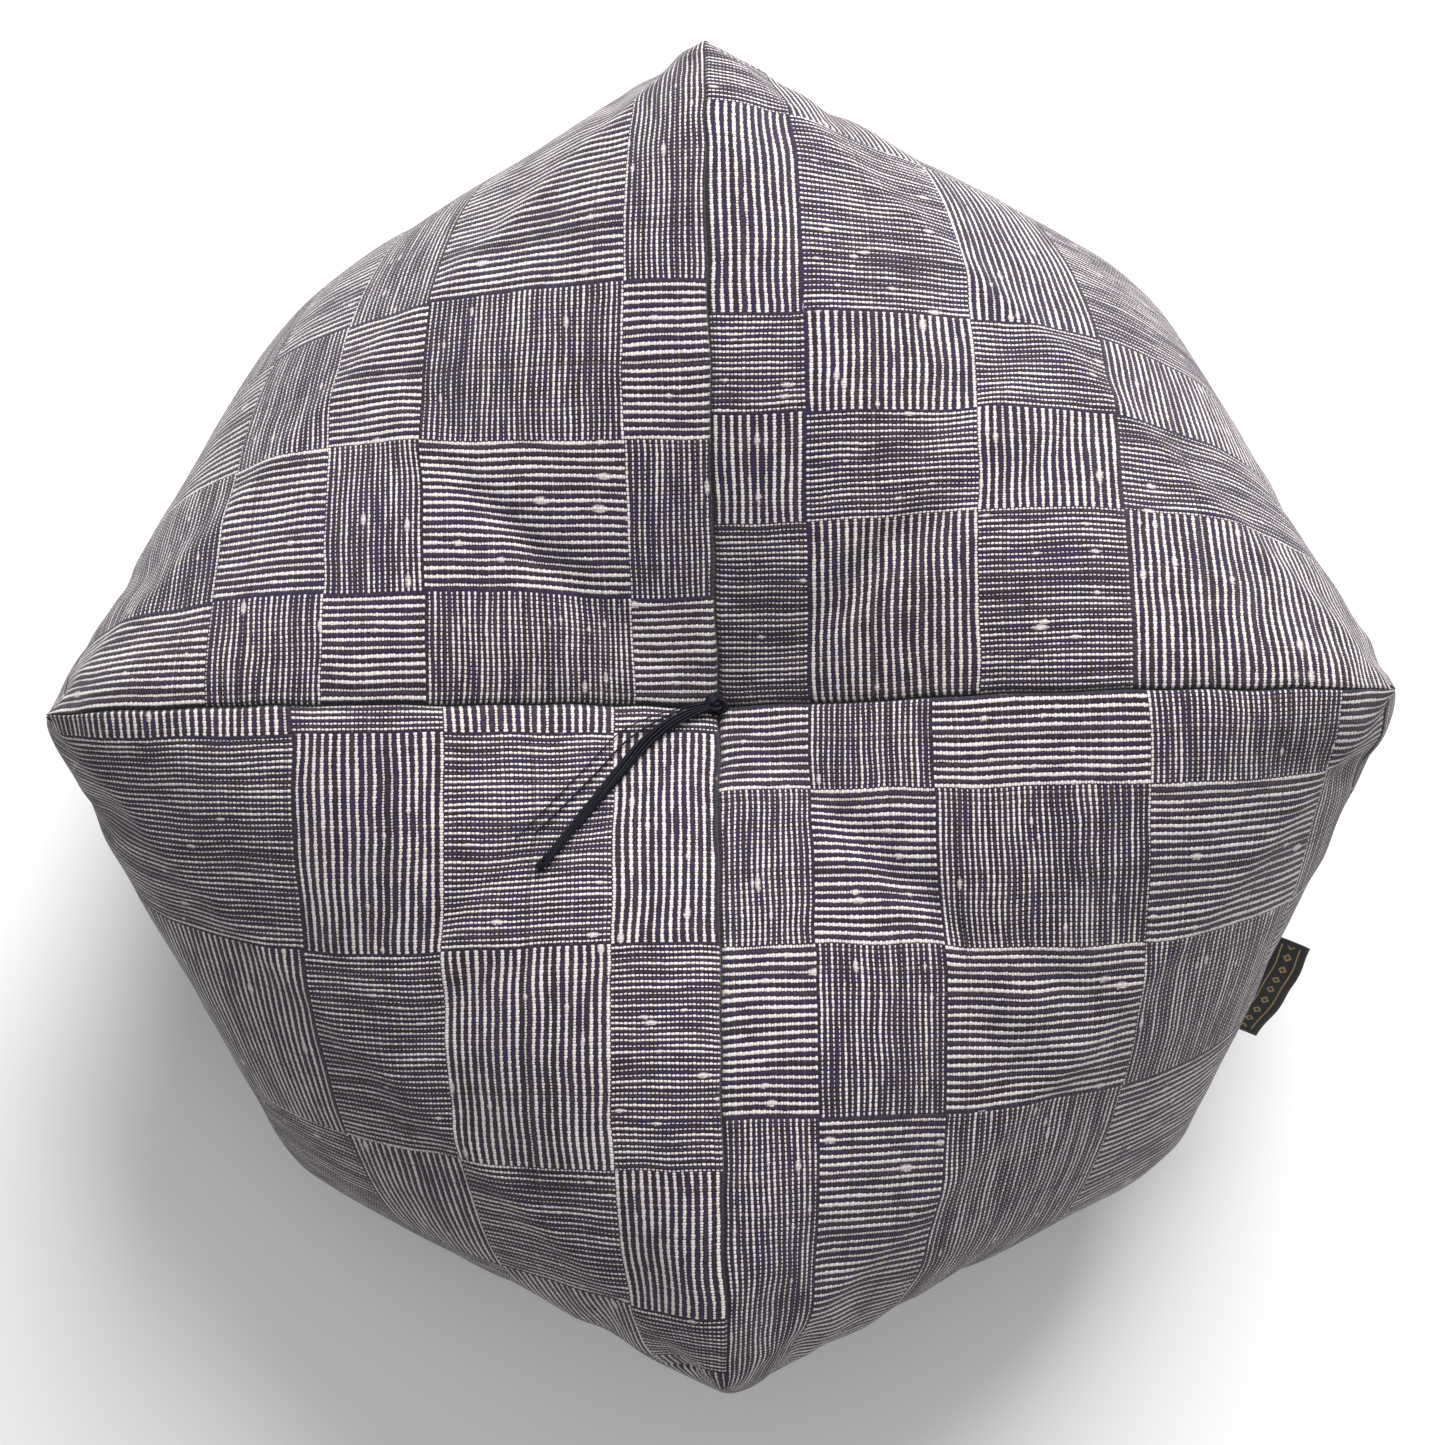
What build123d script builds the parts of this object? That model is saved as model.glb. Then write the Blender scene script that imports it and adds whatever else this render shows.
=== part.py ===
"""Floor cushion sewn from four oblong panels set in a pinwheel.

Each panel is one unit wide and two long.  Its short edge and half of one long
edge make two arms of the cross on top; the panel then wraps round the side
and does the same underneath, an eighth of a turn on.  So the four top corners
lie on the X and Y axes and the four base corners lie between them.
Frame: millimetres, Z up, origin at the middle of the resting face.
"""
import os
from math import cos, hypot, pi, radians, sin, tan

from build123d import *

os.makedirs("parts", exist_ok=True)

# --- the stuffed form ------------------------------------------------------
crown_height = 243.0
top_corner_height = 203.0
base_corner_height = 15.0
quarter_twist = 45.0

# height, radius at the seam, radius halfway to the panel's middle, radius there
levels = [
    (0.0, 196.0, 170.0, 156.0),
    (base_corner_height, 266.0, 212.0, 190.0),
    (40.0, 262.0, 238.0, 222.0),
    (70.0, 256.0, 250.0, 242.0),
    (111.0, 251.0, 255.0, 252.0),
    (155.0, 254.0, 250.0, 238.0),
    (180.0, 261.0, 237.0, 220.0),
    (top_corner_height, 266.0, 218.0, 201.0),
    (225.0, 206.0, 186.0, 169.0),
    (236.0, 162.0, 154.0, 146.0),
    (crown_height, 112.0, 110.0, 108.0),
]

# hollows where the tuft cord draws the middle in: radius, height
top_hollow = [(0.0, 188.0), (7.0, 190.0), (24.0, 211.0), (50.0, 230.0), (96.0, crown_height)]
base_hollow = [(0.0, 56.0), (7.0, 54.0), (30.0, 34.0), (60.0, 13.0), (100.0, 0.0)]

# --- cover, filling and thread ----------------------------------------------
cloth = 1.2
seam_gap = 1.2
wrap_clearance = 0.3
core_clearance = 1.2
wrap_thickness = 12.0
tuft_cord_diameter = 2.6
knot_radius = 3.6
opening_radius = 150.0

# --- woven tag in the right-hand side seam -----------------------------------
tag_height = 85.0
tag_length = 54.0
tag_standout = 12.0
tag_thickness = 0.9
tag_clearance = 1.0

# --- tassel: plan position and lift off the cloth of each point ---------------
bundle_diameter = 4.0
bundle_route = [(-2.2, -0.4, 0.0), (-20.0, -6.0, 6.5), (-44.0, -34.0, 6.5), (-68.0, -63.0, 4.2)]
strand_routes = [
    (0.5, [(-0.5, 1.5, 0.0), (-32.0, -3.5, 5.0), (-52.0, -27.0, 4.0), (-76.5, -52.0, 2.4)]),
    (0.8, [(-2.6, 2.4, 0.0), (-29.0, -6.4, 6.0), (-48.8, -30.2, 4.0), (-69.3, -50.0, 2.4)]),
]

# reach of the blocks that cut the cover into panels
reach = 420.0

def polar(radius, azimuth):
    return (radius * cos(radians(azimuth)), radius * sin(radians(azimuth)))


def seam_azimuth(height):
    """Bearing of the first side seam, which leans back on its way down."""
    drop = (top_corner_height - height) / (top_corner_height - base_corner_height)
    return -quarter_twist * min(max(drop, 0.0), 1.0)


def seam_radius(height):
    for (low, low_radius, *_), (high, high_radius, *_) in zip(levels, levels[1:]):
        if low <= height <= high:
            share = (height - low) / (high - low)
            return low_radius + share * (high_radius - low_radius)
    return levels[-1][1]


def seam_point(height):
    return Vector(*polar(seam_radius(height), seam_azimuth(height)), height)


def cushion_form(inset):
    """The stuffed form, drawn in by inset all over, hollows included."""
    squeeze = (crown_height - 2 * inset) / crown_height
    with BuildPart() as form:
        for height, at_seam, between, at_middle in levels:
            bearing = seam_azimuth(height)
            with BuildSketch(Plane.XY.offset(inset + height * squeeze)):
                with BuildLine():
                    for quarter in range(4):
                        turn = bearing + 90 * quarter
                        seam = polar(at_seam - inset, turn)
                        middle = polar(at_middle - inset, turn + 45)
                        next_seam = polar(at_seam - inset, turn + 90)
                        ThreePointArc(seam, polar(between - inset, turn + 22.5), middle)
                        ThreePointArc(middle, polar(between - inset, turn + 67.5), next_seam)
                make_face()
        loft(ruled=True)
        with BuildSketch(Plane.XZ):
            with BuildLine():
                curve = [(radius, height - inset) for radius, height in top_hollow]
                Spline(curve)
                rim_radius, rim_height = curve[-1]
                Polyline((rim_radius, rim_height), (rim_radius, 300), (0, 300), curve[0])
            make_face()
        revolve(axis=Axis.Z, mode=Mode.SUBTRACT)
        with BuildSketch(Plane.XZ):
            with BuildLine():
                curve = [(radius, height + inset) for radius, height in base_hollow]
                Spline(curve)
                rim_radius, rim_height = curve[-1]
                Polyline((rim_radius, rim_height), (rim_radius, -60), (0, -60), curve[0])
            make_face()
        revolve(axis=Axis.Z, mode=Mode.SUBTRACT)
    return form.part


def turning_prism(outline):
    """A prism on outline(bearing) that leans round with the side seams."""
    heights = [-20.0, base_corner_height]
    heights += [base_corner_height + 23.5 * step for step in range(1, 8)]
    heights += [top_corner_height, 270.0]
    with BuildPart() as prism:
        for height in heights:
            with BuildSketch(Plane.XY.offset(height)):
                with BuildLine():
                    Polyline(*outline(seam_azimuth(height)), close=True)
                make_face()
        loft(ruled=True)
    return prism.part


def sector(bearing):
    """A square corner block, held back from both rays by half the seam gap."""
    apex = Vector(*polar(seam_gap / 2 * 2**0.5, bearing + 45))
    along = Vector(*polar(reach, bearing))
    across = Vector(*polar(reach, bearing + 90))
    return [apex, apex + along, apex + along + across, apex + across]


def seam_slab(bearing):
    """The narrow strip between two panels, from the middle outwards."""
    side = Vector(*polar(seam_gap / 2, bearing + 90))
    along = Vector(*polar(reach, bearing))
    start = Vector(0, 0)
    return [start - side, start - side + along, start + side + along, start + side]


def route_points(route, knot_height):
    """Plan positions and lifts turned into points above the sunken top."""
    points = []
    for x, y, lift in route:
        radius = hypot(x, y)
        for (near, low), (far, high) in zip(top_hollow, top_hollow[1:]):
            if near <= radius <= far:
                rest = low + (high - low) * (radius - near) / (far - near)
        if lift == 0:
            rest = knot_height + (knot_radius**2 - radius**2) ** 0.5
        points.append(Vector(x, y, rest + lift))
    return points


def bend_radii(points):
    """A tangent arc at each middle point that uses 0.45 of the shorter run."""
    radii = []
    for before, corner, after in zip(points, points[1:], points[2:]):
        run_in, run_out = corner - before, after - corner
        turn = radians(run_in.get_angle(run_out))
        radii.append(0.45 * min(run_in.length, run_out.length) / tan(turn / 2))
    return radii


outer = cushion_form(0.0)
cover_inside = cushion_form(cloth)
cover = outer - cover_inside

# --- four panels and the four long seams that join them ----------------------
panel_names = ["panel_back_right", "panel_back_left", "panel_front_left", "panel_front_right"]
panel_block = turning_prism(sector)
for quarter, name in enumerate(panel_names):
    with BuildPart() as panel:
        add(cover)
        add(panel_block.rotate(Axis.Z, 90 * quarter), mode=Mode.INTERSECT)
        Cylinder(2.0, 600, mode=Mode.SUBTRACT)
    panel.part.label = name
    export_step(panel.part, f"parts/{name}.step")

seam_names = ["seam_right", "seam_back", "seam_left", "seam_front"]
seam_block = turning_prism(seam_slab)
with BuildPart() as opening:
    Cylinder(opening_radius, 2 * base_corner_height)
for quarter, name in enumerate(seam_names):
    with BuildPart() as seam:
        add(cover)
        add(seam_block.rotate(Axis.Z, 90 * quarter), mode=Mode.INTERSECT)
        Cylinder(2.0, 600, mode=Mode.SUBTRACT)
        if name == "seam_front":
            add(opening.part, mode=Mode.SUBTRACT)
    seam.part.label = name
    export_step(seam.part, f"parts/{name}.step")

# the filling goes in by the inner end of the front seam, then it is sewn by hand
with BuildPart() as closing_stitches:
    add(cover)
    add(seam_block.rotate(Axis.Z, 270), mode=Mode.INTERSECT)
    Cylinder(2.0, 600, mode=Mode.SUBTRACT)
    add(opening.part, mode=Mode.INTERSECT)
closing_stitches.part.label = "closing_stitches"
export_step(closing_stitches.part, "parts/closing_stitches.step")

# --- filling: a soft wrap round a firmer core, both pierced by the tuft cord -----
wrap_outside = cushion_form(cloth + wrap_clearance)
wrap_inside = cushion_form(cloth + wrap_clearance + wrap_thickness)
with BuildPart() as wadding_wrap:
    add(wrap_outside - wrap_inside)
    Cylinder(tuft_cord_diameter / 2 + wrap_clearance, 600, mode=Mode.SUBTRACT)
wadding_wrap.part.label = "wadding_wrap"
export_step(wadding_wrap.part, "parts/wadding_wrap.step")

with BuildPart() as wadding_core:
    add(cushion_form(cloth + wrap_clearance + wrap_thickness + core_clearance))
    Cylinder(tuft_cord_diameter / 2 + wrap_clearance, 600, mode=Mode.SUBTRACT)
wadding_core.part.label = "wadding_core"
export_step(wadding_core.part, "parts/wadding_core.step")

# --- tuft: taut cord right through, a knot at each end ------------------------
top_knot_height = top_hollow[0][1] + knot_radius + 0.4
base_knot_height = base_hollow[0][1] - knot_radius - 0.4
with BuildPart() as tuft_knot:
    with Locations((0, 0, top_knot_height)):
        Sphere(knot_radius)
tuft_knot.part.label = "tuft_knot"
export_step(tuft_knot.part, "parts/tuft_knot.step")

with BuildPart() as base_knot:
    with Locations((0, 0, base_knot_height)):
        Sphere(knot_radius)
base_knot.part.label = "base_knot"
export_step(base_knot.part, "parts/base_knot.step")

with BuildPart() as tuft_cord:
    with BuildSketch(Plane.XY.offset(base_knot_height)):
        Circle(tuft_cord_diameter / 2)
    extrude(amount=top_knot_height - base_knot_height)
    for height in (base_knot_height, top_knot_height):
        with Locations((0, 0, height)):
            Sphere(knot_radius, mode=Mode.SUBTRACT)
tuft_cord.part.label = "tuft_cord"
export_step(tuft_cord.part, "parts/tuft_cord.step")

# --- tassel: the cord's thick tail and the fine strands that left it -------------
tassel = [("tassel_bundle", bundle_route, bundle_diameter)]
for number, (thickness, route) in enumerate(strand_routes, start=1):
    tassel.append((f"tassel_strand_{number}", route, thickness))
for name, route, thickness in tassel:
    points = route_points(route, top_knot_height)
    radii = bend_radii(points)
    with BuildPart() as tail:
        with BuildLine():
            line = FilletPolyline(*points, radius=radii)
        with BuildSketch(Plane(line @ 0, z_dir=line % 0)):
            Circle(thickness / 2)
        sweep(path=line)
    tail.part.label = name
    export_step(tail.part, f"parts/{name}.step")
    section = pi * thickness**2 / 4
    print(name, "length", round(line.length, 1), "bends", [round(r, 1) for r in radii],
          "volume share", round(tail.part.volume / (section * line.length), 3))

# --- woven tag: a folded ribbon standing out of the right side seam --------------
above, below = seam_point(tag_height + 18), seam_point(tag_height - 18)
tag_run = (above - below).normalized()
tag_out = Vector(*polar(1, seam_azimuth(tag_height)), 0)
tag_out = (tag_out - tag_run * tag_out.dot(tag_run)).normalized()
tag_foot = seam_point(tag_height) + tag_out * tag_clearance
with BuildPart() as woven_tag:
    with BuildSketch(Plane(tag_foot, x_dir=tag_out, z_dir=tag_run.cross(tag_out))):
        Rectangle(tag_standout, tag_length, align=(Align.MIN, Align.CENTER))
    extrude(amount=tag_thickness / 2, both=True)
woven_tag.part.label = "woven_tag"
export_step(woven_tag.part, "parts/woven_tag.step")
print("tag hinge at", tag_foot, "along", tag_run)
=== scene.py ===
"""Floor cushion: four oblong panels in a pinwheel, tufted through the middle, filled with wadding."""
import math

import bpy
import numpy as np
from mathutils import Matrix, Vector


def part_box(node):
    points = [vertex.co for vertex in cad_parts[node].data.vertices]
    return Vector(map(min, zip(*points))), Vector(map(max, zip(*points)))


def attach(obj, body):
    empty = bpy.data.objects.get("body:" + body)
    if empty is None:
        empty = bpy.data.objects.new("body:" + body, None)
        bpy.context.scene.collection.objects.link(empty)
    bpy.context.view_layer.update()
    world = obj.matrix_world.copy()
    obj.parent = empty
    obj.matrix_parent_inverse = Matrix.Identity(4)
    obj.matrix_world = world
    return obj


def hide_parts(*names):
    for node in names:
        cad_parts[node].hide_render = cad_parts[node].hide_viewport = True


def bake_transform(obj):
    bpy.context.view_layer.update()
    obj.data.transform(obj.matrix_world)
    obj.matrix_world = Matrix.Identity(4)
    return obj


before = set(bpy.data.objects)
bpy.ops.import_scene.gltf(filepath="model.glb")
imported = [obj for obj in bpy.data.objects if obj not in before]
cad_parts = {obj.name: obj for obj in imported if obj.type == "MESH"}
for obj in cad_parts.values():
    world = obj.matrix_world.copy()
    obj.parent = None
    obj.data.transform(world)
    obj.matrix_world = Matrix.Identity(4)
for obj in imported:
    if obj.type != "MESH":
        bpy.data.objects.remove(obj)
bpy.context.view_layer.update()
scene = bpy.context.scene
rng = np.random.default_rng(7)

# ---------------------------------------------------------------- camera and light
CENTRE = Vector((0.0, 0.0, 0.112))
CAMERA_DISTANCE = 1.06
CAMERA_TURN = [math.radians(angle) for angle in (4.12, 1.50, -1.0)]
camera_data = bpy.data.cameras.new("camera")
camera_data.lens = 62.2
camera_data.shift_x = -0.0009
camera_data.shift_y = -0.0010
camera_data.sensor_width = 36.0
camera = bpy.data.objects.new("camera", camera_data)
scene.collection.objects.link(camera)
camera.rotation_euler = CAMERA_TURN
camera.location = CENTRE + CAMERA_DISTANCE * (camera.rotation_euler.to_matrix() @ Vector((0.0, 0.0, 1.0)))
scene.camera = camera


def area_light(name, place, size, power, colour):
    """A round soft light aimed at the cushion."""
    data = bpy.data.lights.new(name, "AREA")
    data.shape = "DISK"
    data.size = size
    data.energy = power
    data.color = colour
    light = bpy.data.objects.new(name, data)
    scene.collection.objects.link(light)
    light.location = place
    light.rotation_euler = (CENTRE - Vector(place)).to_track_quat("-Z", "Y").to_euler()


area_light("key", (0.60, 2.05, 1.75), 1.7, 116.0, (0.99, 0.985, 1.0))
area_light("fill", (1.5, -0.9, 1.9), 1.8, 5.0, (1.0, 0.95, 0.90))
area_light("top", (0.0, 0.3, 2.6), 2.0, 9.0, (1.0, 1.0, 1.0))
world = bpy.data.worlds.new("studio")
world.use_nodes = True
surroundings = world.node_tree.nodes["Background"].inputs
surroundings["Color"].default_value = (0.95, 0.97, 1.0, 1.0)
surroundings["Strength"].default_value = 0.34
scene.world = world
scene.view_settings.view_transform = "Standard"


# ---------------------------------------------------------------- small helpers
def mesh_object(name, points, faces, material):
    mesh = bpy.data.meshes.new(name)
    mesh.from_pydata([tuple(map(float, p)) for p in points], [], [tuple(map(int, f)) for f in faces])
    mesh.update()
    mesh.polygons.foreach_set("use_smooth", [True] * len(mesh.polygons))
    mesh.materials.append(material)
    made = bpy.data.objects.new(name, mesh)
    scene.collection.objects.link(made)
    return made


def stand_for(piece, node):
    """The piece rides on the cushion in place of one CAD node."""
    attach(piece, "cushion")
    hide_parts(node)


class Graph:
    """Short calls for building a material's nodes."""

    def __init__(self, name):
        self.material = bpy.data.materials.new(name)
        self.material.use_nodes = True
        self.nodes = self.material.node_tree.nodes
        self.links = self.material.node_tree.links
        self.shader = self.nodes["Principled BSDF"]

    def put(self, socket, value):
        if isinstance(value, bpy.types.NodeSocket):
            self.links.new(value, socket)
        elif value is not None:
            socket.default_value = value

    def node(self, kind, inputs=(), **settings):
        made = self.nodes.new(kind)
        for key, value in settings.items():
            setattr(made, key, value)
        for socket, value in zip(made.inputs, inputs):
            self.put(socket, value)
        return made

    def math(self, operation, *values):
        return self.node("ShaderNodeMath", values, operation=operation).outputs[0]

    def sub(self, first, second):
        return self.math("SUBTRACT", first, second)

    def add(self, *values):
        total = values[0]
        for value in values[1:]:
            total = self.math("ADD", total, value)
        return total

    def mul(self, *values):
        total = values[0]
        for value in values[1:]:
            total = self.math("MULTIPLY", total, value)
        return total

    def between(self, value, low, high, to_low=0.0, to_high=1.0):
        """The value's place from low to high, held to that range and spread over to_low to to_high."""
        made = self.node("ShaderNodeMapRange", (value, low, high, to_low, to_high))
        made.clamp = True
        return made.outputs[0]

    def vector(self, x, y, z=0.0):
        return self.node("ShaderNodeCombineXYZ", (x, y, z)).outputs[0]

    def noise(self, vector, scale, detail=2.0, roughness=0.5):
        made = self.node("ShaderNodeTexNoise")
        self.put(made.inputs["Vector"], vector)
        made.inputs["Scale"].default_value = scale
        made.inputs["Detail"].default_value = detail
        made.inputs["Roughness"].default_value = roughness
        return made.outputs[0]

    def chance(self, value):
        """A number from 0 to 1 that stays the same for the same value."""
        made = self.node("ShaderNodeTexWhiteNoise", noise_dimensions="1D")
        self.put(made.inputs["W"], value)
        return made.outputs["Value"]

    def blend(self, share, first, second):
        made = self.node("ShaderNodeMix", data_type="RGBA")
        self.put(made.inputs[0], share)
        self.put(made.inputs[6], first)
        self.put(made.inputs[7], second)
        return made.outputs[2]

    def pick(self, share, first, second):
        made = self.node("ShaderNodeMix", data_type="FLOAT")
        self.put(made.inputs[0], share)
        self.put(made.inputs[2], first)
        self.put(made.inputs[3], second)
        return made.outputs[0]

    def bump(self, height, strength, distance):
        """Raise the surface by a height, through the shader's normal."""
        made = self.node("ShaderNodeBump")
        made.inputs["Strength"].default_value = strength
        made.inputs["Distance"].default_value = distance
        self.put(made.inputs["Height"], height)
        self.links.new(made.outputs[0], self.shader.inputs["Normal"])


# ---------------------------------------------------------------- cloth: log-cabin weave
WIDTH = 0.280     # one sewn panel across, in metres; it is twice as long
MM = 1000.0       # the weave is worked out in millimetres
WEFT = 1.59       # pitch of the yarns that run across the panel
WARP = 1.09       # pitch of the yarns that run along it
SLUB_LANE = 22.0  # a yarn has at most one fat slub in this length
CREAM = (0.70, 0.655, 0.62, 1.0)
PINKISH = (0.60, 0.52, 0.50, 1.0)
GREYED = (0.26, 0.21, 0.22, 1.0)
NAVY = (0.024, 0.012, 0.046, 1.0)
CHARCOAL = (0.041, 0.026, 0.041, 1.0)
SOOT = (0.018, 0.009, 0.016, 1.0)


def log_cabin(name, along_breaks, across_breaks, phase, seed):
    """Plain weave of dark and pale yarns by turns.  At each break, given in millimetres along
    and across the panel, two yarns of one colour lie side by side.  That turns the stripes,
    so the cloth falls into blocks.  The phase says which way the first block runs."""
    g = Graph(name)
    place = g.node("ShaderNodeUVMap", uv_map="weave").outputs[0]
    split = g.node("ShaderNodeSeparateXYZ", (place,)).outputs
    along = g.mul(split[0], MM)
    across = g.mul(split[1], MM)
    plan = g.vector(g.add(along, 613.0 * seed), across)

    def waver(scale, amount):
        """How far the two sets of yarns stray sideways, in pitches."""
        made = g.node("ShaderNodeTexNoise")
        g.put(made.inputs["Vector"], plan)
        made.inputs["Scale"].default_value = scale
        made.inputs["Detail"].default_value = 1.0
        parts = g.node("ShaderNodeSeparateColor", (made.outputs["Color"],)).outputs
        return [g.mul(g.sub(part, 0.5), amount) for part in parts[:2]]

    slow, quick = waver(0.014, 1.8), waver(0.45, 0.40)
    weft_at = g.add(g.mul(along, 1 / WEFT), slow[0], quick[0])
    warp_at = g.add(g.mul(across, 1 / WARP), slow[1], quick[1])
    weft, warp = g.math("FLOOR", weft_at), g.math("FLOOR", warp_at)
    weft_side = g.math("ABSOLUTE", g.sub(g.mul(g.math("FRACT", weft_at), 2.0), 1.0))
    warp_side = g.math("ABSOLUTE", g.sub(g.mul(g.math("FRACT", warp_at), 2.0), 1.0))

    def flips(index, breaks, pitch, first):
        """How many breaks lie before a yarn."""
        total = float(first)
        for place_mm in breaks:
            total = g.math("ADD", total, g.math("GREATER_THAN", index, round(place_mm / pitch) - 0.5))
        return total

    def parity(*values):
        return g.math("FLOORED_MODULO", g.add(*values), 2.0)

    # over is 1 where a weft yarn lies on top; turned is 1 in the blocks striped along the warp
    weft_flips = flips(weft, along_breaks, WEFT, 0)
    warp_flips = flips(warp, across_breaks, WARP, phase)
    over = parity(weft, warp)
    turned = parity(weft_flips, warp_flips)
    weft_pale = parity(weft, weft_flips)
    warp_pale = parity(warp, warp_flips)

    # each yarn's own luck, and how it thickens and thins along its run
    weft_luck = g.chance(g.add(weft, 37.0 * seed))
    warp_luck = g.chance(g.add(warp, 911.0 + 53.0 * seed))
    weft_run = g.noise(g.vector(g.mul(weft, 5.3), g.mul(across, 0.05), seed), 1.0, 2.0, 0.6)
    warp_run = g.noise(g.vector(g.mul(along, 0.035), g.mul(warp, 5.3), seed + 9.0), 1.0, 2.0, 0.6)
    luck = g.pick(over, warp_luck, weft_luck)
    ragged = g.mul(g.sub(g.noise(plan, 0.8, 2.0, 0.6), 0.5), 1.6)

    def slub(yarn_at, flipped, run, share, offset):
        """A fat slub: a soft oval swelling centred on a pale yarn, in that share of the lanes."""
        off = g.add(yarn_at, flipped, -1.5)
        pair = g.math("ROUND", g.mul(off, 0.5))
        aside = g.sub(off, g.mul(pair, 2.0))
        lane = g.add(g.mul(run, 1 / SLUB_LANE), g.mul(g.chance(g.add(pair, offset)), 17.0))
        luck = g.chance(g.add(g.mul(pair, 1.37), g.mul(g.math("FLOOR", lane), 57.31), offset))
        size = g.math("POWER", g.between(luck, 1.0 - share, 1.0), 2.0)
        length = g.add(g.mul(size, 1.8), 1.5)
        width = g.add(g.mul(size, 0.45), 0.58)
        far = g.math("DIVIDE", g.mul(g.sub(g.math("FRACT", lane), 0.5), SLUB_LANE), length)
        wide = g.math("DIVIDE", g.add(aside, g.mul(ragged, 0.5)), width)
        reach = g.add(g.mul(far, far), g.mul(wide, wide), ragged)
        return g.mul(g.between(reach, 1.1, 0.2), g.math("GREATER_THAN", luck, 1.0 - share))

    fat = g.pick(turned, slub(weft_at, weft_flips, across, 0.10, 31.0 * seed),
                 slub(warp_at, warp_flips, along, 0.075, 400.0 + 31.0 * seed))

    # each crossing shows one yarn as a bead; thin stretches of the pale yarns let more dark through
    pale = g.pick(over, warp_pale, weft_pale)
    weft_band = g.noise(g.vector(g.mul(weft, 0.31), g.mul(across, 0.010), seed + 21.0), 1.0, 1.0, 0.5)
    warp_band = g.noise(g.vector(g.mul(along, 0.010), g.mul(warp, 0.31), seed + 27.0), 1.0, 1.0, 0.5)
    thin_weft = g.add(
        g.between(weft_run, 0.40, 0.62, -0.10, 0.36),
        g.between(weft_run, 0.58, 0.68, 0.0, 0.50),
        g.between(weft_luck, 0.84, 1.0, 0.0, 0.45),
        g.between(weft_band, 0.53, 0.68, 0.0, 0.40),
    )
    thin_warp = g.add(
        g.between(warp_run, 0.38, 0.60, -0.10, 0.55),
        g.between(warp_run, 0.56, 0.66, 0.0, 0.90),
        g.between(warp_luck, 0.80, 1.0, 0.0, 0.70),
        g.between(warp_band, 0.52, 0.66, 0.0, 0.70),
    )

    # a bead is narrower where the stripe's line is carried by the yarn that crosses it
    crossing = g.pick(turned, g.sub(1.0, over), over)
    weft_reach = g.mul(weft_side, g.pick(turned, g.add(0.93, thin_weft, g.mul(crossing, 0.42)),
                                         g.add(1.06, g.mul(thin_warp, 0.45), g.mul(crossing, 0.06))))
    warp_reach = g.mul(warp_side, g.pick(turned, g.add(0.96, g.mul(thin_weft, 0.4)),
                                         g.add(0.89, thin_warp, g.mul(crossing, 0.42))))
    bead = g.add(g.math("POWER", weft_reach, 3.0), g.math("POWER", warp_reach, 3.0))
    shown = g.mul(g.between(bead, 1.22, 0.80), pale)
    shown = g.math("MAXIMUM", shown, fat)

    cream = g.blend(g.between(g.pick(over, warp_run, weft_run), 0.35, 0.68), CREAM, PINKISH)
    cream = g.blend(g.between(luck, 0.88, 1.0, 0.0, 0.45), cream, GREYED)
    cream = g.blend(g.mul(fat, 0.6), cream, PINKISH)
    dark = g.blend(g.between(luck, 0.36, 0.52), NAVY, CHARCOAL)
    dark = g.blend(g.between(luck, 0.66, 0.76), dark, SOOT)
    colour = g.blend(shown, dark, cream)

    def ridge(side):
        """The round top of a yarn, from its middle line out to a side of 1."""
        hidden = g.mul(side, 0.95)
        return g.math("SQRT", g.math("MAXIMUM", g.sub(1.0, g.mul(hidden, hidden)), 0.0))

    weft_ridge = g.mul(ridge(weft_side), g.add(0.66, g.mul(0.34, ridge(warp_side))))
    warp_ridge = g.mul(ridge(warp_side), g.add(0.56, g.mul(0.40, ridge(weft_side))))
    fuzz = g.mul(g.noise(plan, 3.0, 2.0, 0.6), 0.25)
    height = g.add(g.pick(over, warp_ridge, weft_ridge), g.mul(fat, 0.6), fuzz)

    # painted shade: the colour is darkened between the yarns by their height, a touch lighter on their
    # tops, and darkened where the cloth turns in at a seam
    edges = [along, g.sub(2 * MM * WIDTH, along), across, g.sub(MM * WIDTH, across)]
    nearest = edges[0]
    for edge in edges[1:]:
        nearest = g.math("MINIMUM", nearest, edge)
    painted_shade = g.mul(g.between(height, 0.15, 1.0, 0.50, 1.05), g.between(nearest, 0.1, 1.1, 0.06, 1.0))
    with_painted_shade = g.node("ShaderNodeMix", data_type="RGBA", blend_type="MULTIPLY")
    with_painted_shade.inputs[0].default_value = 1.0
    g.put(with_painted_shade.inputs[6], colour)
    g.put(with_painted_shade.inputs[7], g.node("ShaderNodeCombineColor", (painted_shade, painted_shade, painted_shade)).outputs[0])
    g.put(g.shader.inputs["Base Color"], with_painted_shade.outputs[2])
    g.shader.inputs["Roughness"].default_value = 0.88
    g.shader.inputs["Specular IOR Level"].default_value = 0.25
    g.shader.inputs["Sheen Weight"].default_value = 0.18
    g.shader.inputs["Sheen Roughness"].default_value = 0.55
    g.bump(height, 0.9, 0.00045)
    return g.material


def plain_fibre(name, colour, pale, scale, roughness, sheen, strength, distance):
    """Loose fibre in two close colours, with a grain of that scale and bump."""
    g = Graph(name)
    place = g.node("ShaderNodeTexCoord").outputs["Object"]
    grain = g.noise(place, scale, 4.0, 0.6)
    g.put(g.shader.inputs["Base Color"], g.blend(g.between(grain, 0.35, 0.7), (*colour, 1.0), (*pale, 1.0)))
    g.shader.inputs["Roughness"].default_value = roughness
    g.shader.inputs["Specular IOR Level"].default_value = 0.2
    g.shader.inputs["Sheen Weight"].default_value = sheen
    g.bump(grain, strength, distance)
    return g.material


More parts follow.
